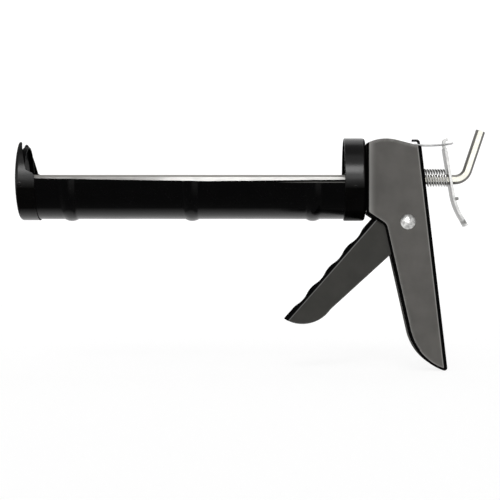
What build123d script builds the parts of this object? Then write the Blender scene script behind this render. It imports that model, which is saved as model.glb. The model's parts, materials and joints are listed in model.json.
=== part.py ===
"""Half-barrel caulking gun, as separate sub-parts in one frame, in millimetres.

+X runs back along the push rod, +Y to the far side and +Z up. The origin is on
the barrel axis, on the front face of the rear ring's back wall.
"""

import os
from math import asin, cos, dist, pi, radians, sin, sqrt, tan

from build123d import *

# Barrel: a half-round cradle held in a pressed nose cap and a pressed rear ring
barrel_bore = 51.8
barrel_length = 234.0
cradle_sheet = 0.9
cap_sheet = 0.75
ring_sheet = 1.2
seam_gap = 0.05
bead_pitch = 81.8
bead_count = 3
bead_from_ring = 33.9
bead_width = 9.0
bead_height = 1.4
bead_blend = 3.0
rim_front_height = -0.2
rim_dip_height = -2.3
rim_dip_from_ring = 105.0
rim_rear_height = -1.2
cradle_end_gap = 2.5
ring_depth = 13.0
ring_corner = 2.0
cap_rise = 3.3
cap_corner_round = 2.2
skirt_depth = 12.4
nozzle_slot = 24.0
ear_top = 24.9
ear_foot_height = 0.4
ear_shoulder_height = 3.2
ear_neck_height = 5.4
ear_shoulder_back = 1.4
ear_neck_back = 5.6
ear_tip_back = 10.2
ear_tip_width = 3.2
ear_tip_drop = 1.2

# Push rod and plunger
rod_across_flats = 5.6
rod_clearance = 0.25
rod_bend_at = 69.2
rod_bend_radius = 9.0
rod_handle_angle = 71.5
rod_handle_length = 34.8
plunger_side_gap = 3.9
plunger_sheet = 1.2
plunger_rim = 4.2
plunger_corner = 2.2
plunger_front_gap = 3.4
backing_diameter = 28.0
spigot_diameter = 4.0
nut_across_flats = 8.0
nut_height = 3.2
thread_fit = 0.05

# Hub that rivets the ring to the handle frame
hub_wall = 1.2
hub_head_rim = 2.3
hub_head_height = 1.0
hub_washer_rim = 1.1
hub_peen_rim = 1.5
hub_peen_height = 0.9
flange_gap = 0.9

# Handle frame, a folded channel; heights in from_ring values start at the ring's underside
frame_width = 28.0
frame_sheet = 1.2
frame_bend = 1.9
spine_bend = 3.2
frame_front_top = 23.8
frame_crown = (12.0, 26.8)
frame_crown_end = (22.0, 26.1)
spine_top = (39.15, 21.7)
grip_tip_from_ring = (56.8, -101.7)
grip_front_low_from_ring = (30.5, -75.0)
grip_front_high_from_ring = (14.3, -3.15)
flange_foot_from_ring = 4.85
foot_round = 3.0
throat_round = 5.0
opening_high_from_ring = (20.0, 6.55)
opening_low_from_ring = (34.6, -68.95)
opening_toe_from_ring = (49.2, -105.5)
spine_hole_clearance = 1.4
hook_width = 6.0
hook_rise = 4.8
hook_reach = 4.4
hook_bend = 1.6

# Trigger, a folded channel whose rounded spine has finger waves; its crests touch the spine's front
trigger_side_gap = 2.3
trigger_sheet = 1.2
trigger_bend = 3.2
trigger_start_from_ring = (-48.85, -66.15)
trigger_slope = 48.7
wave_pitch = 18.7
wave_height = 1.35
wave_count = 4
wave_first_crest = 5.8
trigger_tip_length = -2.9
trigger_heel = (4.3, -10.05)
trigger_rear_low = (22.3, -15.9)
trigger_rear_high_from_ring = (27.0, -15.0)
trigger_top_length = 88.5
trigger_hub_radius = 9.0
trigger_travel = 30.0

# Pivot rivet and washers
pivot_from_ring = (29.8, -0.95)
pivot_diameter = 6.0
rivet_head_diameter = 10.2
rivet_head_height = 1.9
pivot_washer_diameter = 10.0
pivot_fit = 0.05
side_gap = 0.15

# Drive plate pushed by the trigger's ears
push_height = -8.7
push_nose = 3.2
push_root = (-4.5, 7.2)
push_flank = (-1.9, -2.4)
push_gap = 0.15
drive_plate_thickness = 3.0
drive_plate_side_gap = 1.0
drive_plate_top = 11.5
drive_plate_bottom = -10.8
drive_plate_round = 3.0
grip_hole_clearance = 0.3

# Springs
drive_wire = 1.2
drive_coil_gap = 1.65
drive_turns = 6
brake_wire = 1.1
brake_coil_gap = 2.0
brake_turns = 7
brake_lean = -0.145
brake_rise = 1.2
spring_end_gap = 0.3
samples_per_half_turn = 24

# Release plate and the link that hangs it from the frame's hook
release_sheet = 1.7
release_width = 18.0
release_neck_width = 6.0
release_hinge = (55.2, 23.3)
release_lean = 9.6
release_shoulder = 21.0
release_straight_end = -10.0
release_thumb_end = (67.4, -27.0)
release_tip = (69.9, -31.5)
release_curl_rise = 3.2
release_curl_reach = 2.4
release_curl_radius = 1.1
release_hole_rise_gap = 0.85
release_hole_side_gap = 0.5
thumb_ledge_height = -13.2
thumb_ledge_reach = 3.0
thumb_ledge_thickness = 2.0
thumb_ledge_round = 0.6
link_sheet = 0.8
link_width = 9.8
link_front = (35.1, 23.7)
link_middle = (47.0, 23.2)
link_rear = (61.2, 24.6)
link_hook_gap = 0.75
link_neck_front_gap = 0.9
link_neck_rear_gap = 1.8
link_side_clearance = 0.5

# How near two places have to be to count as one, and the least upward tilt of a top face
same_place = 0.01
top_tilt = 0.5

# Derived sizes
cradle_inner = barrel_bore / 2
cradle_outer = cradle_inner + cradle_sheet
seat_radius = cradle_outer + seam_gap
ring_outer = seat_radius + ring_sheet
cap_outer = seat_radius + cap_sheet
cap_apex = -barrel_length - cap_sheet
cap_corner = cap_apex + cap_rise
dome_radius = (cap_outer**2 + cap_rise**2) / (2 * cap_rise)
dome_center = cap_apex + dome_radius
inner_corner = dome_center - sqrt((dome_radius - cap_sheet) ** 2 - seat_radius**2)
skirt_end = cap_corner + skirt_depth
rod_radius = rod_across_flats / sqrt(3)
hub_bore = rod_radius + rod_clearance
hub_radius = hub_bore + hub_wall
hub_head_radius = hub_radius + hub_head_rim
hub_washer_radius = hub_radius + hub_washer_rim
hub_peen_radius = hub_radius + hub_peen_rim
flange_front = ring_sheet + flange_gap
flange_back = flange_front + frame_sheet
peen_back = flange_back + hub_peen_height
half_frame = frame_width / 2
half_inside = half_frame - frame_sheet
half_trigger = half_inside - trigger_side_gap


def from_ring(place):
    """X and Z of a place whose height is measured from the ring's underside."""
    return (place[0], place[1] - ring_outer)


grip_tip = from_ring(grip_tip_from_ring)
grip_front_low = from_ring(grip_front_low_from_ring)
grip_front_high = from_ring(grip_front_high_from_ring)
flange_foot = flange_foot_from_ring - ring_outer
opening_high = from_ring(opening_high_from_ring)
opening_low = from_ring(opening_low_from_ring)
opening_toe = from_ring(opening_toe_from_ring)
trigger_start = from_ring(trigger_start_from_ring)
trigger_rear_high = from_ring(trigger_rear_high_from_ring)
pivot = from_ring(pivot_from_ring)
spine_lean = (grip_tip[0] - spine_top[0]) / (grip_tip[1] - spine_top[1])
pivot_radius = pivot_diameter / 2
half_travel = radians(trigger_travel / 2)
push_center = (pivot[0] + (push_height - pivot[1]) * tan(half_travel), push_height)
drive_plate_back = push_center[0] - push_nose - push_gap
drive_plate_front = drive_plate_back - drive_plate_thickness
drive_plate_width = 2 * (half_inside - drive_plate_side_gap)
drive_radius = rod_radius + drive_coil_gap + drive_wire / 2
brake_radius = rod_radius + brake_coil_gap + brake_wire / 2
plunger_radius = cradle_inner - plunger_side_gap
plunger_front = -barrel_length + plunger_front_gap
backing_front = plunger_front + plunger_sheet
rod_shoulder = backing_front + plunger_sheet
clear_of_all = 2 * ring_outer


def spine_at(height):
    """X of the frame spine's outer face at a height."""
    return spine_top[0] + spine_lean * (height - spine_top[1])


def release_at(height):
    """X of the release plate's middle, on its straight part, at a height."""
    return release_hinge[0] - sin(radians(release_lean)) * (height - release_hinge[1])


def along_trigger(length, lead):
    """X and Z of a point by its distance along the trigger's fold line and ahead of it."""
    slope = radians(trigger_slope)
    x = trigger_start[0] + length * cos(slope) - lead * sin(slope)
    z = trigger_start[1] + length * sin(slope) + lead * cos(slope)
    return (x, z)


def ahead_of_fold(point):
    """How far a point lies ahead of the trigger's fold line."""
    slope = radians(trigger_slope)
    across = point.X - trigger_start[0]
    up = point.Z - trigger_start[1]
    return up * cos(slope) - across * sin(slope)


def finger_wave(inset):
    """Draws the waved front of the trigger, moved back by an inset, and gives its two ends."""
    chord = wave_pitch / 2
    sagitta = wave_height / 2
    arc_radius = (chord**2 / 4 + sagitta**2) / (2 * sagitta)
    turn = asin(chord / 2 / arc_radius)
    mean_lead = trigger_bend - sagitta
    crest = along_trigger(wave_first_crest, trigger_bend - inset)
    start = along_trigger(-trigger_top_length, trigger_bend - inset)
    Line(start, crest)
    last = crest
    for step in range(2 * wave_count):
        side = 1 if step % 2 == 0 else -1
        joint_length = wave_first_crest + chord * (step + 0.5) - side * inset * sin(turn)
        joint = along_trigger(joint_length, mean_lead - inset * cos(turn))
        valley_length = wave_first_crest + chord * (step + 1)
        valley = along_trigger(valley_length, mean_lead - side * sagitta - inset)
        TangentArc(last, joint, tangent=(cos(radians(trigger_slope)), sin(radians(trigger_slope))))
        TangentArc(valley, joint, tangent=(-cos(radians(trigger_slope)), -sin(radians(trigger_slope))))
        last = valley
    end = along_trigger(2 * trigger_top_length, trigger_bend - inset)
    Line(last, end)
    return start, end


def coil(first, last, radius, turns, lean, rise, wire):
    """Draws a spring's wire as half-turn biarcs with straight ends and prints its least self-gap."""

    def point(angle):
        x = first + (last - first) * angle / (2 * pi * turns) + lean * radius * sin(angle)
        return Vector(x, radius * cos(angle), rise + radius * sin(angle))

    def heading(angle):
        x = (last - first) / (2 * pi * turns) + lean * radius * cos(angle)
        return Vector(x, -radius * sin(angle), radius * cos(angle)).normalized()

    Line(point(0) - heading(0) * wire, point(0))
    for half in range(2 * turns):
        start, end = point(pi * half), point(pi * (half + 1))
        go, arrive = heading(pi * half), heading(pi * (half + 1))
        chord = end - start
        slack = chord.dot(go + arrive)
        spread = 2 * (1 - go.dot(arrive))
        reach = (sqrt(slack**2 + spread * chord.dot(chord)) - slack) / spread
        middle = (start + go * reach + end - arrive * reach) * 0.5
        through = (end - arrive * reach - start - go * reach).normalized()
        TangentArc(start, middle, tangent=go)
        TangentArc(middle, end, tangent=through)
    finish = 2 * pi * turns
    Line(point(finish), point(finish) + heading(finish) * wire)

    count = 2 * turns * samples_per_half_turn
    samples = [tuple(point(finish * k / count)) for k in range(count + 1)]
    gaps = [dist(a, b) for i, a in enumerate(samples) for b in samples[i + samples_per_half_turn:]]
    print("least self-gap of a spring:", round(min(gaps) - wire, 2), "mm")


# Barrel cradle: a beaded wall turned about the axis, cut open along a sagging rim
with BuildPart() as barrel_cradle:
    with BuildSketch(Plane.XZ) as cradle_wall:
        for inset, mode in ((0, Mode.ADD), (cradle_sheet, Mode.SUBTRACT)):
            radius = cradle_outer - inset
            front = cap_corner + cradle_end_gap - inset
            back = -cradle_end_gap + inset
            with BuildLine():
                last = (front, radius)
                for number in reversed(range(bead_count)):
                    middle = -bead_from_ring - number * bead_pitch
                    Line(last, (middle - bead_width / 2, radius))
                    ThreePointArc(
                        (middle - bead_width / 2, radius),
                        (middle, radius + bead_height),
                        (middle + bead_width / 2, radius),
                    )
                    last = (middle + bead_width / 2, radius)
                Polyline(last, (back, radius), (back, 0), (front, 0), (front, radius))
            make_face(mode=mode)
        creases = [
            vertex
            for vertex in cradle_wall.vertices()
            if any(
                abs(abs(vertex.X + bead_from_ring + number * bead_pitch) - bead_width / 2) < same_place
                for number in range(bead_count)
            )
        ]
        fillet(creases, bead_blend)
    revolve(axis=Axis.X)
    with BuildSketch(Plane.XZ):
        with BuildLine():
            Polyline(
                (cap_apex, rim_front_height),
                (-rim_dip_from_ring, rim_dip_height),
                (0, rim_rear_height),
                (0, clear_of_all),
                (cap_apex, clear_of_all),
                close=True,
            )
        make_face()
    extrude(amount=clear_of_all, both=True, mode=Mode.SUBTRACT)
barrel_cradle.part.label = "barrel_cradle"

# Nose cap: a domed plate with a skirt, an open nozzle slot and two tapering ears
with BuildPart() as front_cap:
    for corner, radius, apex, mode in (
        (cap_corner, cap_outer, cap_apex, Mode.ADD),
        (inner_corner, seat_radius, -barrel_length, Mode.SUBTRACT),
    ):
        with BuildSketch(Plane.XZ) as cap_profile:
            with BuildLine():
                TangentArc((apex, 0), (corner, radius), tangent=(0, 1))
                Polyline((corner, radius), (skirt_end, radius), (skirt_end, 0), (apex, 0))
            make_face()
            corner_point = cap_profile.vertices().sort_by_distance((corner, radius))[0]
            fillet(corner_point, cap_corner_round - (cap_outer - radius))
        revolve(axis=Axis.X, mode=mode)
    with BuildSketch(Plane.YZ.offset(cap_apex)):
        Circle(nozzle_slot / 2)
        Rectangle(nozzle_slot, clear_of_all, align=(Align.CENTER, Align.MIN))
    extrude(amount=cap_rise + skirt_depth, mode=Mode.SUBTRACT)
    with BuildSketch(Plane.XZ):
        with BuildLine():
            foot = (skirt_end, ear_foot_height)
            shoulder = (skirt_end - ear_shoulder_back, ear_shoulder_height)
            neck = (skirt_end - ear_neck_back, ear_neck_height)
            tip_back = (skirt_end - ear_tip_back, ear_top - ear_tip_drop)
            tip_top = (tip_back[0] - ear_tip_width / 2, ear_top)
            tip_front = (tip_back[0] - ear_tip_width, ear_top - ear_tip_drop)
            TangentArc(foot, shoulder, tangent=(0, 1))
            Polyline(shoulder, neck, tip_back)
            ThreePointArc(tip_back, tip_top, tip_front)
            Polyline(tip_front, (cap_apex, tip_front[1]), (cap_apex, clear_of_all))
            Polyline((cap_apex, clear_of_all), (skirt_end, clear_of_all), foot)
        make_face()
    extrude(amount=clear_of_all, both=True, mode=Mode.SUBTRACT)
front_cap.part.label = "front_cap"

# Rear ring: a cup that takes the cradle's end
with BuildPart() as rear_ring:
    with BuildSketch(Plane.XZ) as ring_profile:
        with BuildLine():
            Polyline(
                (-ring_depth, seat_radius),
                (-ring_depth, ring_outer),
                (ring_sheet, ring_outer),
                (ring_sheet, hub_radius + thread_fit),
                (0, hub_radius + thread_fit),
                (0, seat_radius),
                close=True,
            )
        make_face()
        fillet(ring_profile.vertices().sort_by_distance((ring_sheet, ring_outer))[0], ring_corner)
        fillet(ring_profile.vertices().sort_by_distance((0, seat_radius))[0], ring_corner - ring_sheet)
        fillet(ring_profile.vertices().sort_by_distance((-ring_depth, ring_outer))[0], ring_sheet / 2)
    revolve(axis=Axis.X)
rear_ring.part.label = "rear_ring"

# Hub: a tubular rivet through ring, washer and frame, which guides the rod
with BuildPart() as barrel_hub:
    with BuildSketch(Plane.XZ) as hub_profile:
        with BuildLine():
            Polyline(
                (-hub_head_height, hub_bore),
                (-hub_head_height, hub_head_radius),
                (0, hub_head_radius),
                (0, hub_radius),
                (flange_back, hub_radius),
                (flange_back, hub_peen_radius),
                (peen_back, hub_peen_radius),
                (peen_back, hub_bore),
                close=True,
            )
        make_face()
        for edge_x, edge_radius in ((-hub_head_height, hub_head_radius), (peen_back, hub_peen_radius)):
            rim = hub_profile.vertices().sort_by_distance((edge_x, edge_radius))[0]
            chamfer(rim, hub_peen_height / 2)
    revolve(axis=Axis.X)
barrel_hub.part.label = "barrel_hub"

# Washer that spaces the ring from the frame
with BuildPart() as hub_washer:
    with BuildSketch(Plane.YZ.offset(ring_sheet)):
        Circle(hub_washer_radius)
        Circle(hub_radius + thread_fit, mode=Mode.SUBTRACT)
    extrude(amount=flange_gap)
hub_washer.part.label = "hub_washer"


def frame_outline():
    """Draws the frame's side outline in the active line builder."""
    ThreePointArc((flange_front, frame_front_top), frame_crown, frame_crown_end)
    Polyline(frame_crown_end, spine_top, grip_tip)
    fall = (grip_front_low[0] - grip_front_high[0], grip_front_low[1] - grip_front_high[1])
    TangentArc(grip_front_low, grip_tip, tangent=fall)
    FilletPolyline(grip_front_low, grip_front_high, (flange_front, flange_foot), radius=throat_round)
    Line((flange_front, flange_foot), (flange_front, frame_front_top))


# Handle frame: a folded channel, open on top and, between curled edges, along the grip
with BuildPart() as handle_frame:
    with BuildSketch(Plane.XZ) as frame_side:
        with BuildLine():
            frame_outline()
        make_face()
        fillet(frame_side.vertices().sort_by_distance((flange_front, flange_foot))[0], foot_round)
    extrude(amount=half_frame, both=True)
    side_edges = [
        edge
        for edge in handle_frame.edges()
        if abs(abs(edge.center().Y) - half_frame) < same_place and edge.center().Z < spine_top[1]
    ]
    spine_edges = [
        edge
        for edge in side_edges
        if abs(edge.center().X - spine_at(edge.center().Z)) < same_place
    ]
    fillet(spine_edges, spine_bend)
    fillet([edge for edge in side_edges if edge not in spine_edges], frame_bend)
    top_faces = [
        face
        for face in handle_frame.faces()
        if abs(face.center().Y) < same_place and face.normal_at().Z > top_tilt
    ]
    offset(amount=-frame_sheet, openings=top_faces)
    with BuildSketch(Plane.XZ):
        with BuildLine():
            Polyline(
                (flange_front - frame_width, opening_high[1]),
                opening_high,
                opening_low,
                opening_toe,
                (flange_front - frame_width, opening_toe[1]),
                close=True,
            )
        make_face()
    extrude(amount=half_frame - frame_bend, both=True, mode=Mode.SUBTRACT)
    with BuildSketch(Plane.XZ):
        with Locations(pivot):
            Circle(pivot_radius + pivot_fit)
    extrude(amount=half_frame, both=True, mode=Mode.SUBTRACT)
    with BuildSketch(Plane.YZ):
        Circle(hub_radius + thread_fit)
    extrude(amount=flange_back + frame_sheet, mode=Mode.SUBTRACT)
    with BuildSketch(Plane.YZ.offset(spine_at(0) - frame_bend)):
        Circle(rod_radius + spine_hole_clearance)
    extrude(amount=2 * frame_bend, mode=Mode.SUBTRACT)
    with BuildSketch(Plane.XZ):
        with BuildLine():
            base = spine_top[1] - hook_bend
            bend_height = spine_top[1] + hook_rise
            bend_x = spine_at(bend_height) - frame_sheet / 2
            FilletPolyline(
                (spine_at(base) - frame_sheet / 2, base),
                (bend_x, bend_height),
                (bend_x - hook_reach, bend_height),
                radius=hook_bend,
            )
        trace(line_width=frame_sheet)
    extrude(amount=hook_width / 2, both=True)
handle_frame.part.label = "handle_frame"

# Hollow of the trigger's channel, open behind and at both ends, its front following the waves
with BuildPart() as trigger_hollow:
    with BuildSketch(Plane.XZ):
        with BuildLine():
            front_low = along_trigger(-trigger_top_length, trigger_bend - trigger_sheet)
            front_high = along_trigger(2 * trigger_top_length, trigger_bend - trigger_sheet)
            behind_high = along_trigger(2 * trigger_top_length, -trigger_top_length)
            behind_low = along_trigger(-trigger_top_length, -trigger_top_length)
            Polyline(front_low, front_high, behind_high, behind_low, close=True)
        make_face()
    extrude(amount=half_trigger - trigger_sheet, both=True)
    hollow_folds = [
        edge
        for edge in trigger_hollow.edges().filter_by(Axis.Y, reverse=True)
        if abs(ahead_of_fold(edge.center()) - trigger_bend + trigger_sheet) < same_place
    ]
    fillet(hollow_folds, trigger_bend - trigger_sheet)
    with BuildSketch(Plane.XZ):
        with BuildLine():
            low, high = finger_wave(trigger_sheet)
            ahead_high = along_trigger(2 * trigger_top_length, 2 * trigger_bend)
            ahead_low = along_trigger(-trigger_top_length, 2 * trigger_bend)
            Polyline(high, ahead_high, ahead_low, low)
        make_face()
    extrude(amount=half_trigger, both=True, mode=Mode.SUBTRACT)

# Trigger: waved spine folded into two side plates, each with an ear behind the drive plate
with BuildPart() as trigger:
    with BuildSketch(Plane.XZ):
        with BuildLine():
            low = along_trigger(trigger_tip_length, trigger_bend)
            high = along_trigger(trigger_top_length, trigger_bend)
            rear_low = along_trigger(*trigger_rear_low)
            ThreePointArc(low, along_trigger(*trigger_heel), rear_low)
            Polyline(rear_low, trigger_rear_high, pivot, (pivot[0], pivot[1] + trigger_hub_radius), high, low)
        make_face()
        with Locations(pivot):
            Circle(trigger_hub_radius)
        with Locations(push_center):
            Circle(push_nose)
        with BuildLine():
            Polyline(
                (pivot[0] + push_root[0], pivot[1] + push_root[1]),
                (push_center[0] + push_flank[0], push_center[1] + push_flank[1]),
                push_center,
                (push_center[0] + push_nose, push_center[1]),
                (pivot[0] + trigger_hub_radius, pivot[1]),
                pivot,
                close=True,
            )
        make_face()
    extrude(amount=half_trigger, both=True)
    trigger_folds = [
        edge
        for edge in trigger.edges().filter_by(Axis.Y, reverse=True)
        if abs(ahead_of_fold(edge.center()) - trigger_bend) < same_place
    ]
    fillet(trigger_folds, trigger_bend)
    with BuildSketch(Plane.XZ):
        with BuildLine():
            low, high = finger_wave(0)
            ahead_high = along_trigger(2 * trigger_top_length, 2 * trigger_bend)
            ahead_low = along_trigger(-trigger_top_length, 2 * trigger_bend)
            Polyline(high, ahead_high, ahead_low, low)
        make_face()
    extrude(amount=half_trigger, both=True, mode=Mode.SUBTRACT)
    add(trigger_hollow.part, mode=Mode.SUBTRACT)
    with BuildSketch(Plane.XZ):
        with Locations(pivot):
            Circle(pivot_radius + pivot_fit)
    extrude(amount=half_trigger, both=True, mode=Mode.SUBTRACT)
trigger.part.label = "trigger"

# Pivot rivet: a shank with a domed head on each side of the frame
with BuildPart() as pivot_rivet:
    with BuildSketch(Plane.XY) as rivet_profile:
        with BuildLine():
            head = rivet_head_diameter / 2
            ThreePointArc(
                (-head, half_frame),
                (0, half_frame + rivet_head_height),
                (head, half_frame),
            )
            Polyline((head, half_frame), (pivot_radius, half_frame), (pivot_radius, -half_frame))
            Polyline((pivot_radius, -half_frame), (head, -half_frame))
            ThreePointArc(
                (head, -half_frame),
                (0, -half_frame - rivet_head_height),
                (-head, -half_frame),
            )
            Polyline((-head, -half_frame), (-pivot_radius, -half_frame), (-pivot_radius, half_frame))
            Line((-pivot_radius, half_frame), (-head, half_frame))
        make_face()
        split(bisect_by=Plane.YZ)
    revolve(axis=Axis.Y)
pivot_rivet.part = pivot_rivet.part.moved(Location((pivot[0], 0, pivot[1])))
pivot_rivet.part.label = "pivot_rivet"

# Washers that centre the trigger between the frame's sides
pivot_washers = {}
for side_name, side in (("near", -1), ("far", 1)):
    with BuildPart() as pivot_washer:
        with BuildSketch(Plane.XZ.offset(-side * (half_trigger + side_gap))):
            with Locations(pivot):
                Circle(pivot_washer_diameter / 2)
                Circle(pivot_radius + pivot_fit, mode=Mode.SUBTRACT)
        extrude(amount=-side * (half_inside - half_trigger - 2 * side_gap))
    pivot_washer.part.label = "pivot_washer_" + side_name
    pivot_washers[side_name] = pivot_washer

# Drive plate: a thick plate that the ears push, with a hole close to the rod
with BuildPart() as drive_plate:
    with BuildSketch(Plane.YZ.offset(drive_plate_front)):
        with Locations((0, (drive_plate_top + drive_plate_bottom) / 2)):
            RectangleRounded(drive_plate_width, drive_plate_top - drive_plate_bottom, drive_plate_round)
        Circle(rod_radius + grip_hole_clearance, mode=Mode.SUBTRACT)
    extrude(amount=drive_plate_thickness)
drive_plate.part.label = "drive_plate"

# Springs: each one swept tube
with BuildPart() as drive_spring:
    with BuildLine() as drive_path:
        coil(
            peen_back + spring_end_gap + drive_wire / 2,
            drive_plate_front - spring_end_gap - drive_wire / 2,
            drive_radius,
            drive_turns,
            0,
            0,
            drive_wire,
        )
    with BuildSketch(Plane(origin=drive_path.line @ 0, z_dir=drive_path.line % 0)):
        Circle(drive_wire / 2)
    sweep(path=drive_path.wires()[0])
drive_spring.part.label = "drive_spring"

release_front = release_at(brake_rise) - release_sheet / 2 / cos(radians(release_lean))
with BuildPart() as brake_spring:
    with BuildLine() as brake_path:
        coil(
            spine_at(brake_rise) + spring_end_gap + brake_wire / 2,
            release_front - spring_end_gap - brake_wire / 2,
            brake_radius,
            brake_turns,
            brake_lean,
            brake_rise,
            brake_wire,
        )
    with BuildSketch(Plane(origin=brake_path.line @ 0, z_dir=brake_path.line % 0)):
        Circle(brake_wire / 2)
    sweep(path=brake_path.wires()[0])
brake_spring.part.label = "brake_spring"

# Release plate: a bent thumb plate that hangs by its neck and grips the rod by its hole
with BuildPart() as release_plate:
    with BuildSketch(Plane.XZ):
        with BuildLine():
            neck_top = (release_at(release_hinge[1]), release_hinge[1] + release_curl_rise)
            straight_end = (release_at(release_straight_end), release_straight_end)
            lean = radians(release_lean)
            FilletPolyline(
                straight_end,
                release_hinge,
                neck_top,
                (neck_top[0] + release_curl_reach, neck_top[1] + release_sheet / 2),
                radius=release_curl_radius,
            )
            TangentArc(straight_end, release_thumb_end, tangent=(sin(lean), -cos(lean)))
            Line(release_thumb_end, release_tip)
        trace(line_width=release_sheet)
        with Locations((release_at(thumb_ledge_height) + thumb_ledge_reach / 2, thumb_ledge_height)):
            RectangleRounded(thumb_ledge_reach, thumb_ledge_thickness, thumb_ledge_round)
    extrude(amount=release_width / 2, both=True)
    with BuildSketch(Plane.XY.offset(release_shoulder)):
        for side in (-1, 1):
            with Locations((release_hinge[0], side * (release_neck_width + release_width) / 2)):
                Rectangle(release_width, release_width)
    extrude(amount=release_width, mode=Mode.SUBTRACT)
    with BuildSketch(Plane.YZ.offset(release_front - release_width)):
        hole_height = 2 * (rod_radius + release_hole_rise_gap)
        hole_width = rod_across_flats + 2 * release_hole_side_gap
        SlotOverall(hole_height, hole_width, rotation=90)
    extrude(amount=release_width * 2, mode=Mode.SUBTRACT)
release_plate.part.label = "release_plate"

# Release link: a dished strip with a window for the frame's hook and one for the plate's neck
with BuildPart() as release_link:
    with BuildSketch(Plane.XZ):
        with BuildLine():
            ThreePointArc(link_front, link_middle, link_rear)
        trace(line_width=link_sheet)
    extrude(amount=link_width / 2, both=True)
    hook_back = spine_at(link_front[1])
    neck_front = release_hinge[0] - release_sheet / 2
    neck_back = release_hinge[0] + release_sheet / 2
    with BuildSketch(Plane.XY):
        for front, back, width in (
            (hook_back - frame_sheet - link_hook_gap, hook_back + link_hook_gap, hook_width),
            (neck_front - link_neck_front_gap, neck_back + link_neck_rear_gap, release_neck_width),
        ):
            with Locations(((front + back) / 2, 0)):
                Rectangle(back - front, width + 2 * link_side_clearance)
    extrude(amount=clear_of_all, mode=Mode.SUBTRACT)
release_link.part.label = "release_link"

# Push rod: hexagonal bar, bent up behind as a pull and turned down in front for the plunger
with BuildPart() as push_rod:
    handle_tip = (
        rod_bend_at + rod_handle_length * cos(radians(rod_handle_angle)),
        rod_handle_length * sin(radians(rod_handle_angle)),
    )
    with BuildLine(Plane.XZ) as rod_path:
        FilletPolyline((rod_shoulder, 0), (rod_bend_at, 0), handle_tip, radius=rod_bend_radius)
    with BuildSketch(Plane.YZ.offset(rod_shoulder)):
        RegularPolygon(rod_across_flats / 2, 6, major_radius=False, rotation=30)
    sweep(path=rod_path.wires()[0])
    with BuildSketch(Plane.YZ.offset(plunger_front - nut_height)):
        Circle(spigot_diameter / 2)
    extrude(amount=rod_shoulder - plunger_front + nut_height)
push_rod.part.label = "push_rod"

# Plunger: a dished disc, a backing disc and the nut that holds them on the rod
with BuildPart() as plunger_disc:
    with BuildSketch(Plane.XZ) as disc_profile:
        edge = plunger_radius
        bore = spigot_diameter / 2 + thread_fit
        with BuildLine():
            Polyline(
                (plunger_front, bore),
                (plunger_front, edge),
                (plunger_front + plunger_rim, edge),
                (plunger_front + plunger_rim, edge - plunger_sheet),
                (backing_front, edge - plunger_sheet),
                (backing_front, bore),
                close=True,
            )
        make_face()
        fillet(disc_profile.vertices().sort_by_distance((plunger_front, edge))[0], plunger_corner)
        inner_rim = (backing_front, edge - plunger_sheet)
        fillet(disc_profile.vertices().sort_by_distance(inner_rim)[0], plunger_corner - plunger_sheet)
    revolve(axis=Axis.X)
plunger_disc.part.label = "plunger_disc"

with BuildPart() as plunger_backing:
    with BuildSketch(Plane.YZ.offset(backing_front)):
        Circle(backing_diameter / 2)
        Circle(spigot_diameter / 2 + thread_fit, mode=Mode.SUBTRACT)
    extrude(amount=plunger_sheet)
plunger_backing.part.label = "plunger_backing"

with BuildPart() as plunger_nut:
    with BuildSketch(Plane.YZ.offset(plunger_front - nut_height)):
        RegularPolygon(nut_across_flats / 2, 6, major_radius=False)
        Circle(spigot_diameter / 2 + thread_fit, mode=Mode.SUBTRACT)
    extrude(amount=nut_height)
plunger_nut.part.label = "plunger_nut"

os.makedirs("parts", exist_ok=True)
sub_parts = [
    barrel_cradle,
    front_cap,
    rear_ring,
    barrel_hub,
    hub_washer,
    handle_frame,
    trigger,
    pivot_rivet,
    *pivot_washers.values(),
    drive_plate,
    drive_spring,
    brake_spring,
    release_plate,
    release_link,
    push_rod,
    plunger_disc,
    plunger_backing,
    plunger_nut,
]
for sub_part in sub_parts:
    export_step(sub_part.part, "parts/" + sub_part.part.label + ".step")
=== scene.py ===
# Half-barrel caulking gun: finishes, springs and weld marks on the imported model, and its studio
import json
from math import asin, ceil, cos, pi, radians, sin, sqrt

import bmesh
import bpy
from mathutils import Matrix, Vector


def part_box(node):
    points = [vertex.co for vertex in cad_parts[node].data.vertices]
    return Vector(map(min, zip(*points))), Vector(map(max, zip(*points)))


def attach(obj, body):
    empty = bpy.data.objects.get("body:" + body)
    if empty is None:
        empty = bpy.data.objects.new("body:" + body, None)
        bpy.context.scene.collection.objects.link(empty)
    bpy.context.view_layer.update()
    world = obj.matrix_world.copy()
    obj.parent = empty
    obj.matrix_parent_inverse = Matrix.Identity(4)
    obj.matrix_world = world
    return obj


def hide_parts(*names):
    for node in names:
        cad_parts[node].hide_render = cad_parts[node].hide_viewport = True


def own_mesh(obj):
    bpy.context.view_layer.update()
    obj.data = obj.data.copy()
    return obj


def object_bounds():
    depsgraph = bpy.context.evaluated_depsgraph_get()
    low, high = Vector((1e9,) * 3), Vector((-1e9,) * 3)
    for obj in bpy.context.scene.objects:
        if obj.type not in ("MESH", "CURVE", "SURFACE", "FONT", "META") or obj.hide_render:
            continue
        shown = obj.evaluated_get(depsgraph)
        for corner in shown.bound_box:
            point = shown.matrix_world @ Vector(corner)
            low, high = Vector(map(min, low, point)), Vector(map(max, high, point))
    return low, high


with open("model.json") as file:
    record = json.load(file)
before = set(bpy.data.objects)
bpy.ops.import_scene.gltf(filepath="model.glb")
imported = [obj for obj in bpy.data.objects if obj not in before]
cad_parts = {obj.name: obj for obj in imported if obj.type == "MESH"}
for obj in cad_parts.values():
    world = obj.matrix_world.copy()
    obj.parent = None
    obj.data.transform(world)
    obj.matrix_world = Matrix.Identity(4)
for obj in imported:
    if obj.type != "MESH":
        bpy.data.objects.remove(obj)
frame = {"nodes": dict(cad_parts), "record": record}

cad_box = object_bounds()
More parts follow.
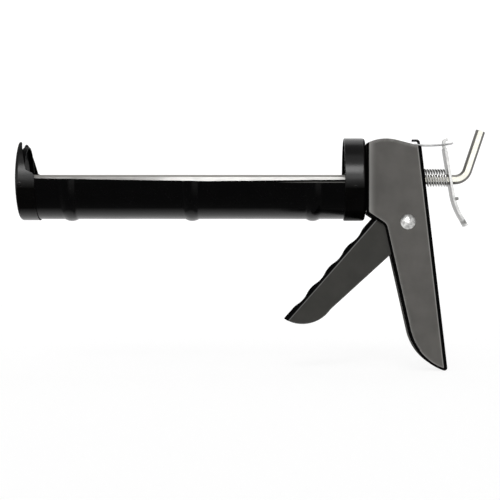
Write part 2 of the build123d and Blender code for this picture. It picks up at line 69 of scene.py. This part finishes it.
nodes = frame["nodes"]
mm = 0.001

# Camera: level and square to the tool's side, with places in pixels of the 500 x 500 image
# and the size of a pixel at the rod's axis
image_px = 500
focal_px = 1544
principal_px = (278, 260)
axis_row_px = 179.65
origin_column_px = 362.5
scale_at_axis = 0.68 * mm
sensor_width = 36.0

# Studio: a white floor and backdrop, an even dim room, and five broad suns
floor_size = 12.0
floor_drop = 0.05 * mm
backdrop_distance = 1.5
backdrop_half_width = 0.65
backdrop_height = 4.0
studio_white = (0.9, 0.9, 0.9, 1)
seen_glow = 0.85
seen_white = (0.22, 0.22, 0.22, 1)
room_level = 0.3
sun_rows = (
    # name, azimuth, elevation, strength, angle across, with the angles in degrees
    ("key", -4.0, 27.0, 1.1, 22.0),
    ("front", -3.0, 8.0, 0.5, 28.0),
    ("above", -10.0, 46.0, 0.35, 50.0),
    ("fill_left", -45.0, 8.0, 0.35, 30.0),
    ("fill_right", 45.0, 8.0, 0.35, 30.0),
)

# Springs, wound again with closed ends: the pitch of the closed turns as a share of the wire,
# and the small part of a turn over which the wire's direction is found
spring_rows = (
    # node, wire, open turns, closed turns at each end, lean of the coils along the rod,
    # joint that presses it together, share of its length that is left then
    ("drive_spring", 1.2 * mm, 6.0, 0.9, 0.0, "drive_plate_slide", 0.54),
    ("brake_spring", 1.1 * mm, 7.0, 0.5, -0.145, "release_press", 0.8),
)
steps_per_turn = 36
wire_sides = 12
closed_pitch_share = 1.04
small_turn = 0.002

# Weld marks on the near and far sides: a mark rises by a share of weld_height, less in its middle
# than in a ring about it, and its edge is sunk into the sheet
weld_rows = (
    # node, place along the barrel, height
    ("front_cap", -229.0 * mm, -4.3 * mm),
    ("rear_ring", -5.8 * mm, -6.4 * mm),
)
weld_radius = 1.5 * mm
weld_height = 0.16 * mm
weld_middle_share = 0.35
weld_sink = 0.02 * mm
weld_rings = 6
weld_sides = 20
same_point = 1e-7

# Colour sockets of a Mix node, by number because other sockets have the same names
mix_first = 6
mix_second = 7
mix_result = 2

# Fine detail in each kind of noise
mottle_detail = 3.0
peel_detail = 2.0
metal_detail = 4.0
smear_detail = 5.0

# Rounded edges: samples, and the radius that shows in paint and in metal
bevel_samples = 6
paint_round = 0.3 * mm
metal_round = 0.2 * mm

# Paint: sizes of its mottling, of its smears and of the patches in which edges are rubbed and,
# on some paints, lit with painted highlight, how much they are rubbed at least and at most, and
# the cosine of the turn of a rounded edge at which the rub is full
mottle_size = 14.0 * mm
smear_size = 22.0 * mm
patch_size = 5.0 * mm
patch_range = (0.25, 0.9)
edge_sharp = 0.96

# Paint on folded sheet: how squarely a face looks along Y where the bend's painted shade, a near
# black, begins, and on the line of painted highlight just before it
bend_facing = 0.985
bend_blend = 0.016
highlight_line_facing = 0.9985
highlight_line_blend = 0.002

# Flat backs of folded sheet, past the bend, which have the sides' paint again, flat fronts,
# which have a share of it, the rest being painted shade, and no sheen, and the range of
# looking along X between the two
back_facing = 0.1
back_blend = 0.1
front_share = 0.65
front_turn = 0.4

# Painted highlight at the frame's front edge: its place along the barrel, and how far it fades back
front_highlight_start = 4.3 * mm
front_highlight_length = 4.8 * mm

# Painted shade, a near black, on the frame's hook above a line along its falling top edge:
# the line's fall, its height above the origin, and the blend across it
top_slope = 0.185
hook_height = 30.6 * mm
hook_blend = 0.6 * mm

# Paint that shines otherwise on faces that look down: its specular level there,
# how far down a face looks where the change is halfway, and over what range it goes
pressed_under = (0.012, -0.16, 0.2)
barrel_under = (0.42, -0.85, 0.22)
cap_glow = (0.42, -0.85, 0.24)

# Glossier inside of the barrel, which faces up, with painted light there too
inner_facing = 0.14
inner_blend = 0.16
inner_specular = 0.35

# Matt inside of the pressed ends, which faces back
inside_facing = 0.3
inside_blend = 0.3

# Painted highlight on the rear flanks of the barrel's beads, fading downwards
flank_facing = 0.15
flank_blend = 0.2
flank_fade = -0.25
flank_fade_blend = 0.4

# Painted highlight on a line below the barrel's rim: its height and width, and the middle and
# length of its fade along the barrel
rim_highlight_height = -3.1 * mm
rim_highlight_width = 0.7 * mm
rim_highlight_middle = -48.0 * mm
rim_highlight_length = 20.0 * mm

# Steel bar: where a face counts as one of its duller sides, which carry painted shade, and over
# what range of looking up or down it turns from the upper sides' tone to the darker lower sides'
side_facing = 0.8
side_blend = 0.2
side_turn = 0.3

# Push rod: a whiter shaft ahead of the pull, and a front darkened with painted shade, which
# stands in for a tilt of the rod into the barrel
rod_bands = (
    # middle and length of the fade along the barrel, dark and light tone ahead of it
    (20.0 * mm, 10.0 * mm, (0.635, 0.63, 0.612), (0.71, 0.705, 0.682)),
    # Painted shade on the rod's front, which stands in for its tilt into the barrel
    (-140.0 * mm, 30.0 * mm, (0.27, 0.266, 0.258), (0.33, 0.325, 0.315)),
)

# Painted shade on the release plate's ledge and tip, and the share of the radius that it blends over
shade_spot_rows = (
    # place along the barrel, height, radius
    (63.2 * mm, -13.2 * mm, 1.5 * mm),
    (68.8 * mm, -28.7 * mm, 1.5 * mm),
)
shade_spot_blend = 0.6

# Paints: two tones, the tone of rubbed edges, which on some paints is painted highlight too, and
# their width, least and most roughness, size and depth of the orange peel, specular level, and
# what else the paint function takes
pressed_row = dict(
    dark=(0.001, 0.00095, 0.0009),
    light=(0.0017, 0.0016, 0.0015),
    wear_and_highlight=(0.009, 0.009, 0.009),
    wear_and_highlight_width=0.35 * mm,
    gloss=(0.21, 0.28),
    peel_size=1.4 * mm,
    peel_depth=0.012 * mm,
    specular=0.29,
    under=pressed_under,
    matt_inside=True,
)
paint_rows = {
    "barrel_paint": dict(
        dark=(0.0004, 0.0004, 0.0005),
        light=(0.0008, 0.0008, 0.0009),
        # The rubbed edges' tone is also painted highlight along the rim
        wear_and_highlight=(0.075, 0.074, 0.072),
        wear_and_highlight_width=0.6 * mm,
        gloss=(0.2, 0.27),
        peel_size=1.4 * mm,
        peel_depth=0.012 * mm,
        specular=0.025,
        under=barrel_under,
        # Painted light: a lighter tone on faces that look up
        lit_inner=(0.006, 0.006, 0.0062),
        # Painted highlight on the beads' rear flanks
        flank_highlight=(0.0085, 0.0085, 0.0085),
        # Painted highlight on a line below the rim
        rim_highlight=(0.075, 0.074, 0.07),
    ),
    "pressed_paint": pressed_row,
    "cap_paint": dict(pressed_row, glow=cap_glow),
    "frame_paint": dict(
        dark=(0.076, 0.0728, 0.0678),
        light=(0.091, 0.087, 0.081),
        # The rubbed edges' tone is also painted highlight along the edges and on the fold lines
        wear_and_highlight=(0.21, 0.206, 0.196),
        wear_and_highlight_width=3.5 * mm,
        gloss=(0.36, 0.44),
        peel_size=0.8 * mm,
        peel_depth=0.012 * mm,
        specular=0.12,
        # Painted shade: the near black of the bends and the hook
        bend=(0.0025, 0.0025, 0.0026),
        # Painted highlight fading back from the front edge
        front=(0.215, 0.21, 0.2),
    ),
    # Painted shade: the trigger has the frame's paint, and its darker tones stand in for shade
    "trigger_paint": dict(
        dark=(0.0268, 0.0262, 0.0234),
        light=(0.0325, 0.0317, 0.0284),
        # The rubbed edges' tone is also painted highlight along the edges and on the fold lines
        wear_and_highlight=(0.11, 0.11, 0.108),
        wear_and_highlight_width=1.3 * mm,
        gloss=(0.36, 0.44),
        peel_size=0.8 * mm,
        peel_depth=0.012 * mm,
        specular=0.12,
        # Painted shade: the near black of the bends and the hook
        bend=(0.0025, 0.0025, 0.0026),
    ),
    "plunger_black": dict(
        dark=(0.0016, 0.0016, 0.0017),
        light=(0.003, 0.003, 0.0031),
        wear_and_highlight=(0.012, 0.012, 0.012),
        wear_and_highlight_width=0.35 * mm,
        gloss=(0.5, 0.62),
        peel_size=1.0 * mm,
        peel_depth=0.02 * mm,
        specular=0.04,
    ),
}

# Steels: two tones and the size of their clouds, least and most roughness, the grain's stretch
# along X, Y and Z, its size and depth, and what else the metal function takes
metal_rows = {
    "zinc": dict(
        dark=(0.4, 0.4, 0.39),
        light=(0.72, 0.72, 0.7),
        cloud_size=4.0 * mm,
        gloss=(0.24, 0.4),
        grain=(1, 1, 6),
        grain_size=0.5 * mm,
        grain_depth=0.012 * mm,
    ),
    "rivet_zinc": dict(
        dark=(0.3, 0.3, 0.295),
        light=(0.86, 0.86, 0.84),
        cloud_size=2.6 * mm,
        gloss=(0.3, 0.44),
        grain=(1, 1, 3),
        grain_size=0.5 * mm,
        grain_depth=0.012 * mm,
    ),
    "plate_zinc": dict(
        dark=(0.42, 0.42, 0.415),
        light=(0.57, 0.57, 0.56),
        cloud_size=5.0 * mm,
        gloss=(0.4, 0.55),
        grain=(1, 1, 6),
        grain_size=0.5 * mm,
        grain_depth=0.012 * mm,
        # Painted shade in round spots on the ledge and tip
        mark=(0.16, 0.16, 0.155),
    ),
    "rod_steel": dict(
        dark=(0.64, 0.63, 0.565),
        light=(0.72, 0.71, 0.64),
        cloud_size=9.0 * mm,
        gloss=(0.44, 0.58),
        grain=(60, 1, 1),
        grain_size=0.35 * mm,
        grain_depth=0.0012 * mm,
        # Painted shade on the bar's upper and lower sides
        sides=((0.46, 0.445, 0.42), (0.2, 0.195, 0.185)),
        bands=rod_bands,
    ),
    "spring_steel": dict(
        dark=(0.48, 0.48, 0.47),
        light=(0.7, 0.7, 0.69),
        cloud_size=9.0 * mm,
        gloss=(0.12, 0.2),
        grain=(1, 1, 1),
        grain_size=0.3 * mm,
        grain_depth=0.006 * mm,
    ),
    "link_steel": dict(
        dark=(0.24, 0.24, 0.24),
        light=(0.42, 0.42, 0.42),
        cloud_size=5.0 * mm,
        gloss=(0.4, 0.55),
        grain=(6, 1, 1),
        grain_size=0.5 * mm,
        grain_depth=0.012 * mm,
    ),
    "hard_steel": dict(
        dark=(0.32, 0.32, 0.33),
        light=(0.46, 0.46, 0.47),
        cloud_size=9.0 * mm,
        gloss=(0.3, 0.45),
        grain=(1, 1, 25),
        grain_size=0.4 * mm,
        grain_depth=0.012 * mm,
    ),
}


def new_material(name):
    """A material, its node tree and its shader."""
    made = bpy.data.materials.new(name)
    made.use_nodes = True
    return made, made.node_tree, made.node_tree.nodes["Principled BSDF"]


def add(tree, kind, **settings):
    """Adds a node and sets its sockets and properties by name."""
    node = tree.nodes.new("ShaderNode" + kind)
    for name, value in settings.items():
        if hasattr(node, name):
            setattr(node, name, value)
        else:
            node.inputs[name].default_value = value
    return node


def calculate(tree, operation, first, second):
    """The result of a calculation with two sockets' values."""
    calculated = add(tree, "Math", operation=operation)
    tree.links.new(first, calculated.inputs[0])
    tree.links.new(second, calculated.inputs[1])
    return calculated.outputs["Value"]


def spread(tree, value, low, high, centre=0.5, width=0.3):
    """Maps a socket's value to a range, over a stretch of values about a centre."""
    ranged = add(tree, "MapRange")
    ranged.inputs["From Min"].default_value = centre - width / 2
    ranged.inputs["From Max"].default_value = centre + width / 2
    ranged.inputs["To Min"].default_value = low
    ranged.inputs["To Max"].default_value = high
    tree.links.new(value, ranged.inputs["Value"])
    return ranged.outputs["Result"]


def blend_colours(tree, factor, first, second):
    """Mixes two colours, each a tuple or a socket, by a factor."""
    mixed = add(tree, "Mix", data_type="RGBA")
    tree.links.new(factor, mixed.inputs["Factor"])
    for number, colour in ((mix_first, first), (mix_second, second)):
        if isinstance(colour, tuple):
            mixed.inputs[number].default_value = (*colour, 1)
        else:
            tree.links.new(colour, mixed.inputs[number])
    return mixed.outputs[mix_result]


def noise(tree, size, detail, stretch=(1, 1, 1)):
    """Noise in object space, with features of a size, stretched along the axes."""
    coordinates = add(tree, "TexCoord")
    mapping = add(tree, "Mapping", Scale=[1 / size / share for share in stretch])
    texture = add(tree, "TexNoise", Scale=1.0, Detail=detail)
    tree.links.new(coordinates.outputs["Object"], mapping.inputs["Vector"])
    tree.links.new(mapping.outputs["Vector"], texture.inputs["Vector"])
    return texture.outputs["Fac"]


def component(tree, source, axis):
    """One axis of a point's Object place or of its face's Normal, both in object space."""
    coordinates = add(tree, "TexCoord")
    parts = add(tree, "SeparateXYZ")
    tree.links.new(coordinates.outputs[source], parts.inputs["Vector"])
    return parts.outputs[axis]


def place(tree, axis):
    """A point's place along one of the part's axes."""
    return component(tree, "Object", axis)


def facing(tree, axis):
    """How squarely a face looks along one of the part's axes, from minus one to one."""
    return component(tree, "Normal", axis)


def rounded_normal(tree, radius):
    """The direction of a face with its edges rounded."""
    return add(tree, "Bevel", Radius=radius, samples=bevel_samples).outputs["Normal"]


def bump(tree, shader, height, depth, edge_radius):
    """Bump of a real depth over edges that are rounded by a small radius."""
    bumped = add(tree, "Bump", Strength=1.0, Distance=depth)
    tree.links.new(rounded_normal(tree, edge_radius), bumped.inputs["Normal"])
    tree.links.new(height, bumped.inputs["Height"])
    tree.links.new(bumped.outputs["Normal"], shader.inputs["Normal"])


def edge_mask(tree, radius, sharp):
    """One near edges, zero on open faces. A sharp nearer to one finds slighter bends."""
    geometry = add(tree, "NewGeometry")
    aligned = add(tree, "VectorMath", operation="DOT_PRODUCT")
    tree.links.new(rounded_normal(tree, radius), aligned.inputs[0])
    tree.links.new(geometry.outputs["Normal"], aligned.inputs[1])
    return spread(tree, aligned.outputs["Value"], 1.0, 0.0, (1 + sharp) / 2, 1 - sharp)


def bend_mask(tree, start, blend):
    """One on faces that turn away from a part's two flat sides, which face along Y."""
    squareness = add(tree, "Math", operation="ABSOLUTE")
    tree.links.new(facing(tree, "Y"), squareness.inputs[0])
    return spread(tree, squareness.outputs["Value"], 1.0, 0.0, start, blend)


def ahead_mask(tree, middle, length):
    """One ahead of a place along the barrel, zero behind it."""
    return spread(tree, place(tree, "X"), 1.0, 0.0, middle, length)


def front_highlight_mask(tree):
    """One at the frame's front edge, fading backwards."""
    fade = ahead_mask(tree, front_highlight_start + front_highlight_length / 2, front_highlight_length)
    return calculate(tree, "MULTIPLY", fade, fade)


def hook_shade_mask(tree):
    """One on the hook that stands above the frame's falling top edge."""
    coordinates = add(tree, "TexCoord")
    height = add(tree, "VectorMath", operation="DOT_PRODUCT")
    height.inputs[1].default_value = (top_slope, 0, 1)
    tree.links.new(coordinates.outputs["Object"], height.inputs[0])
    return spread(tree, height.outputs["Value"], 0.0, 1.0, hook_height, hook_blend)


def flank_highlight_mask(tree):
    """One on the beads' rear flanks, fading downwards."""
    slant = spread(tree, facing(tree, "X"), 0.0, 1.0, flank_facing, flank_blend)
    upper = spread(tree, facing(tree, "Z"), 0.0, 1.0, flank_fade, flank_fade_blend)
    return calculate(tree, "MULTIPLY", slant, upper)


def rim_highlight_mask(tree):
    """One on a thin line below the barrel's rim, fading in towards the rear ring."""
    line = add(tree, "Math", operation="COMPARE")
    line.inputs[1].default_value = rim_highlight_height
    line.inputs[2].default_value = rim_highlight_width / 2
    tree.links.new(place(tree, "Z"), line.inputs[0])
    along = spread(tree, place(tree, "X"), 0.0, 1.0, rim_highlight_middle, rim_highlight_length)
    return calculate(tree, "MULTIPLY", line.outputs["Value"], along)


def shade_spot_mask(tree, along, height, radius):
    """One inside a round that runs through the part from side to side, along Y."""
    coordinates = add(tree, "TexCoord")
    flat = add(tree, "VectorMath", operation="MULTIPLY")
    flat.inputs[1].default_value = (1, 0, 1)
    tree.links.new(coordinates.outputs["Object"], flat.inputs[0])
    distance = add(tree, "VectorMath", operation="DISTANCE")
    distance.inputs[1].default_value = (along, 0, height)
    tree.links.new(flat.outputs["Vector"], distance.inputs[0])
    return spread(tree, distance.outputs["Value"], 1.0, 0.0, radius, radius * shade_spot_blend)


def fold_paint(tree, shader, colour, wear_and_highlight, bend, specular):
    """Adds a folded sheet's lines of painted highlight, and painted shade on bends, fronts and hook.

    Bends and fronts have no sheen.
    """
    # Painted highlight: a lighter line just before each bend
    line = bend_mask(tree, highlight_line_facing, highlight_line_blend)
    # Painted shade: near black on the bends, and on flat fronts in part
    shaded_bend = bend_mask(tree, bend_facing, bend_blend)
    share = spread(tree, facing(tree, "X"), front_share, 1.0, 0.0, front_turn)
    back = calculate(tree, "MULTIPLY", bend_mask(tree, back_facing, back_blend), share)
    folded = blend_colours(tree, line, colour, wear_and_highlight)
    folded = blend_colours(tree, shaded_bend, folded, bend)
    folded = blend_colours(tree, back, folded, colour)
    matt = spread(tree, shaded_bend, specular, 0.0, width=1.0)
    sheen = spread(tree, back, 0.0, specular, (1 + front_share) / 2, 1 - front_share)
    shine = calculate(tree, "MAXIMUM", matt, sheen)
    tree.links.new(shine, shader.inputs["Specular IOR Level"])
    # Painted shade: the hook takes the bends' near black
    return blend_colours(tree, hook_shade_mask(tree), folded, bend)


def round_sheen(tree, shader, specular, under, glow, matt_inside, glossy_inside):
    """Sets the specular level of a round piece by the direction that its faces look in."""
    low, start, blend = under
    shine = spread(tree, facing(tree, "Z"), low, specular, start, blend)
    if glossy_inside:
        upward = spread(tree, facing(tree, "Z"), 0.0, inner_specular, inner_facing, inner_blend)
        shine = calculate(tree, "ADD", shine, upward)
    if glow:
        low, start, blend = glow
        lit = spread(tree, facing(tree, "Z"), low, 0.0, start, blend)
        shine = calculate(tree, "ADD", shine, lit)
    if matt_inside:
        outer = spread(tree, facing(tree, "X"), 1.0, 0.0, inside_facing, inside_blend)
        shine = calculate(tree, "MULTIPLY", shine, outer)
    tree.links.new(shine, shader.inputs["Specular IOR Level"])


def paint(
    name,
    dark,
    light,
    wear_and_highlight,
    wear_and_highlight_width,
    gloss,
    peel_size,
    peel_depth,
    specular,
    bend=None,
    front=None,
    lit_inner=None,
    flank_highlight=None,
    rim_highlight=None,
    under=None,
    glow=None,
    matt_inside=False,
):
    """Sprayed paint: mottled colour, orange peel, uneven gloss, rubbed edges and painted light.

    bend and front are the colours of painted shade on a folded sheet's bends and of painted
    highlight at its front edge. The other colours are painted light on an inside that faces up,
    and painted highlight on the beads' rear flanks and on the line below the rim.
    under and glow change the specular level of faces that look down, and matt_inside takes it
    off faces that look back.
    """
    made, tree, shader = new_material(name)
    shader.inputs["Specular IOR Level"].default_value = specular
    mottle = spread(tree, noise(tree, mottle_size, mottle_detail), 0.0, 1.0)
    body = blend_colours(tree, mottle, dark, light)
    patch = spread(tree, noise(tree, patch_size, mottle_detail), *patch_range)
    # Rubbed edges, whose tone on some paints is also painted highlight
    thin = calculate(tree, "MULTIPLY", edge_mask(tree, wear_and_highlight_width, edge_sharp), patch)
    colour = blend_colours(tree, thin, body, wear_and_highlight)
    if front:
        # Painted highlight fading back from the frame's front edge
        colour = blend_colours(tree, front_highlight_mask(tree), colour, front)
    if bend:
        colour = fold_paint(tree, shader, colour, wear_and_highlight, bend, specular)
    if lit_inner:
        # Painted light: a lighter tone on faces that look up
        upward = spread(tree, facing(tree, "Z"), 0.0, 1.0, inner_facing, inner_blend)
        colour = blend_colours(tree, upward, colour, lit_inner)
    if flank_highlight:
        # Painted highlight on a line below the rim
        colour = blend_colours(tree, flank_highlight_mask(tree), colour, flank_highlight)
    if rim_highlight:
        # Painted highlight on a line below the rim
        colour = blend_colours(tree, rim_highlight_mask(tree), colour, rim_highlight)
    if under:
        round_sheen(tree, shader, specular, under, glow, matt_inside, glossy_inside=bool(lit_inner))
    tree.links.new(colour, shader.inputs["Base Color"])
    smear = spread(tree, noise(tree, smear_size, smear_detail), *gloss)
    tree.links.new(smear, shader.inputs["Roughness"])
    bump(tree, shader, noise(tree, peel_size, peel_detail), peel_depth, paint_round)
    return made


def metal(
    name,
    dark,
    light,
    cloud_size,
    gloss,
    grain,
    grain_size,
    grain_depth,
    bands=(),
    mark=None,
    sides=None,
):
    """Bare or plated steel: clouds of two tones, and a grain stretched along an axis.

    bands are other tones ahead of places along the barrel, mark is the colour of round spots of
    painted shade, and the sides' two tones are painted shade on a bar's upper and lower sides.
    """
    made, tree, shader = new_material(name)
    shader.inputs["Metallic"].default_value = 1.0
    cloud = spread(tree, noise(tree, cloud_size, metal_detail), 0.0, 1.0)
    tone = blend_colours(tree, cloud, dark, light)
    for middle, length, band_dark, band_light in bands:
        band = blend_colours(tree, cloud, band_dark, band_light)
        tone = blend_colours(tree, ahead_mask(tree, middle, length), tone, band)
    if mark:
        for along, height, radius in shade_spot_rows:
            # Painted shade in round spots
            tone = blend_colours(tree, shade_spot_mask(tree, along, height, radius), tone, mark)
    if sides:
        upper, lower = sides
        downward = spread(tree, facing(tree, "Z"), 1.0, 0.0, 0.0, side_turn)
        side = blend_colours(tree, downward, upper, lower)
        # Painted shade on the bar's sides, from the upper sides' tone to the darker lower sides'
        tone = blend_colours(tree, bend_mask(tree, side_facing, side_blend), tone, side)
    tree.links.new(tone, shader.inputs["Base Color"])
    lines = noise(tree, grain_size, metal_detail, grain)
    tree.links.new(spread(tree, lines, *gloss), shader.inputs["Roughness"])
    bump(tree, shader, lines, grain_depth, metal_round)
    return made


finishes = {name: paint(name, **row) for name, row in paint_rows.items()}
finishes.update({name: metal(name, **row) for name, row in metal_rows.items()})

# The CAD nodes take the finish that the record names, apart from five with a closer one
node_finishes = {row["node"]: row["material_slot"] for row in frame["record"]["subparts"]}
node_finishes.update(
    front_cap="cap_paint",
    rear_ring="pressed_paint",
    release_plate="plate_zinc",
    release_link="link_steel",
    pivot_rivet="rivet_zinc",
)


def join_rings(mesh, rings):
    """Joins each ring of points to the next with faces."""
    for ring, after in zip(rings, rings[1:]):
        for number in range(len(ring)):
            beside = (number + 1) % len(ring)
            mesh.faces.new((ring[number], ring[beside], after[beside], after[number]))


def wound_spring(node, wire, open_turns, closed_turns, lean):
    """A round wire wound along the rod at its node's height, its end turns closed up."""
    low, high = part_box(node)
    radius = (high.y - low.y - wire) / 2
    height = (high.z + low.z) / 2
    first = low.x + wire / 2 + abs(lean) * radius
    last = high.x - wire / 2 - abs(lean) * radius
    turns = open_turns + 2 * closed_turns
    closed_pitch = wire * closed_pitch_share
    open_pitch = (last - first - 2 * closed_turns * closed_pitch) / open_turns

    def point(turn):
        """The middle of the wire after a number of turns."""
        front = min(turn, closed_turns)
        middle = min(max(turn - closed_turns, 0), open_turns)
        back = max(turn - closed_turns - open_turns, 0)
        x = first + (front + back) * closed_pitch + middle * open_pitch
        angle = 2 * pi * turn
        along = x + lean * radius * sin(angle)
        return Vector((along, radius * cos(angle), height + radius * sin(angle)))

    mesh = bmesh.new()
    rings = []
    steps = ceil(turns * steps_per_turn)
    for step in range(steps + 1):
        turn = turns * step / steps
        centre = point(turn)
        along = (point(turn + small_turn) - point(turn - small_turn)).normalized()
        outward = Vector((0, centre.y, centre.z - height)).normalized()
        across = along.cross(outward).normalized()
        outward = across.cross(along)
        ring = []
        for side in range(wire_sides):
            angle = 2 * pi * side / wire_sides
            offset = outward * cos(angle) + across * sin(angle)
            ring.append(mesh.verts.new(centre + offset * wire / 2))
        rings.append(ring)
    join_rings(mesh, rings)
    mesh.faces.new(reversed(rings[0]))
    mesh.faces.new(rings[-1])
    return mesh


def weld_mark(node, along, height, side):
    """A spot weld's low rim about a dimple, wrapped on its node's round side."""
    low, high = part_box(node)
    surface = (high.y - low.y) / 2
    middle = asin(height / surface)
    mesh = bmesh.new()
    rings = []
    for ring_number in range(weld_rings + 1):
        share = ring_number / weld_rings
        swell = weld_middle_share + (1 - weld_middle_share) * share
        radius = surface + weld_height * swell * sqrt(1 - share**2) - weld_sink
        ring = []
        for number in range(weld_sides):
            turn = 2 * pi * number / weld_sides
            bend = middle + weld_radius * share * sin(turn) / surface
            x = along + weld_radius * share * cos(turn)
            ring.append(mesh.verts.new((x, side * radius * cos(bend), radius * sin(bend))))
        rings.append(ring)
    join_rings(mesh, rings)
    bmesh.ops.remove_doubles(mesh, verts=mesh.verts, dist=same_point)
    return mesh


def piece(name, mesh, finish):
    """Makes a smooth piece from a built mesh and gives it its finish."""
    bmesh.ops.recalc_face_normals(mesh, faces=mesh.faces)
    data = bpy.data.meshes.new(name)
    mesh.to_mesh(data)
    mesh.free()
    data.polygons.foreach_set("use_smooth", [True] * len(data.polygons))
    data.materials.append(finishes[finish])
    made = bpy.data.objects.new(name, data)
    bpy.context.scene.collection.objects.link(made)
    return made


for node, wire, open_turns, closed_turns, lean, joint, keep in spring_rows:
    coils = wound_spring(node, wire, open_turns, closed_turns, lean)
    wound = piece(node + "_wound", coils, "spring_steel")
    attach(wound, "tool")
    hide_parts(node)
    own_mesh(wound)

for node, along, height in weld_rows:
    for side_name, side in (("near", -1), ("far", 1)):
        dimple = weld_mark(node, along, height, side)
        mark = piece(f"{node}_weld_{side_name}", dimple, node_finishes[node])
        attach(mark, "tool")

for name, node in nodes.items():
    node.data.materials.clear()
    node.data.materials.append(finishes[node_finishes[name]])


def studio_material():
    """One white to camera, mirror and transmission rays, and a plain white to other rays."""
    made = bpy.data.materials.new("studio_white")
    made.use_nodes = True
    tree = made.node_tree
    tree.nodes.remove(tree.nodes["Principled BSDF"])
    rays = add(tree, "LightPath").outputs
    mirrored = calculate(tree, "MAXIMUM", rays["Is Glossy Ray"], rays["Is Transmission Ray"])
    seen = calculate(tree, "MAXIMUM", rays["Is Camera Ray"], mirrored)
    plain = add(tree, "BsdfDiffuse", Color=studio_white)
    shaded = add(tree, "BsdfDiffuse", Color=seen_white)
    glow = add(tree, "Emission", Strength=seen_glow)
    pale = add(tree, "AddShader")
    tree.links.new(shaded.outputs["BSDF"], pale.inputs[0])
    tree.links.new(glow.outputs["Emission"], pale.inputs[1])
    chosen = add(tree, "MixShader")
    tree.links.new(seen, chosen.inputs["Fac"])
    tree.links.new(plain.outputs["BSDF"], chosen.inputs[1])
    tree.links.new(pale.outputs["Shader"], chosen.inputs[2])
    tree.links.new(chosen.outputs["Shader"], tree.nodes["Material Output"].inputs["Surface"])
    return made


half = floor_size / 2
ground = cad_box[0][2] - floor_drop
top = ground + backdrop_height
studio_sheets = {
    "floor": (
        (-half, -half, ground),
        (half, -half, ground),
        (half, half, ground),
        (-half, half, ground),
    ),
    "backdrop": (
        (-backdrop_half_width, backdrop_distance, ground),
        (backdrop_half_width, backdrop_distance, ground),
        (backdrop_half_width, backdrop_distance, top),
        (-backdrop_half_width, backdrop_distance, top),
    ),
}
studio_finish = studio_material()
for name, corners in studio_sheets.items():
    sheet_mesh = bpy.data.meshes.new(name)
    sheet_mesh.from_pydata(corners, [], [(0, 1, 2, 3)])
    sheet_mesh.materials.append(studio_finish)
    sheet = bpy.data.objects.new(name, sheet_mesh)
    bpy.context.scene.collection.objects.link(sheet)

world = bpy.data.worlds.new("studio")
world.use_nodes = True
world.node_tree.nodes["Background"].inputs["Color"].default_value = (1, 1, 1, 1)
world.node_tree.nodes["Background"].inputs["Strength"].default_value = room_level
bpy.context.scene.world = world

for name, azimuth, elevation, strength, across in sun_rows:
    lamp = bpy.data.lights.new(name, "SUN")
    lamp.energy = strength
    lamp.angle = radians(across)
    sun = bpy.data.objects.new(name, lamp)
    sun.rotation_euler = (radians(90 - elevation), 0, radians(azimuth))
    bpy.context.scene.collection.objects.link(sun)

camera_data = bpy.data.cameras.new("camera")
camera_data.sensor_width = sensor_width
camera_data.lens = sensor_width * focal_px / image_px
camera_data.shift_x = (image_px / 2 - principal_px[0]) / image_px
camera_data.shift_y = (principal_px[1] - image_px / 2) / image_px
camera = bpy.data.objects.new("camera", camera_data)
camera.location = (
    (principal_px[0] - origin_column_px) * scale_at_axis,
    -focal_px * scale_at_axis,
    (axis_row_px - principal_px[1]) * scale_at_axis,
)
camera.rotation_euler = (radians(90), 0, 0)
bpy.context.scene.collection.objects.link(camera)
bpy.context.scene.camera = camera

bpy.context.scene.view_settings.view_transform = "Standard"
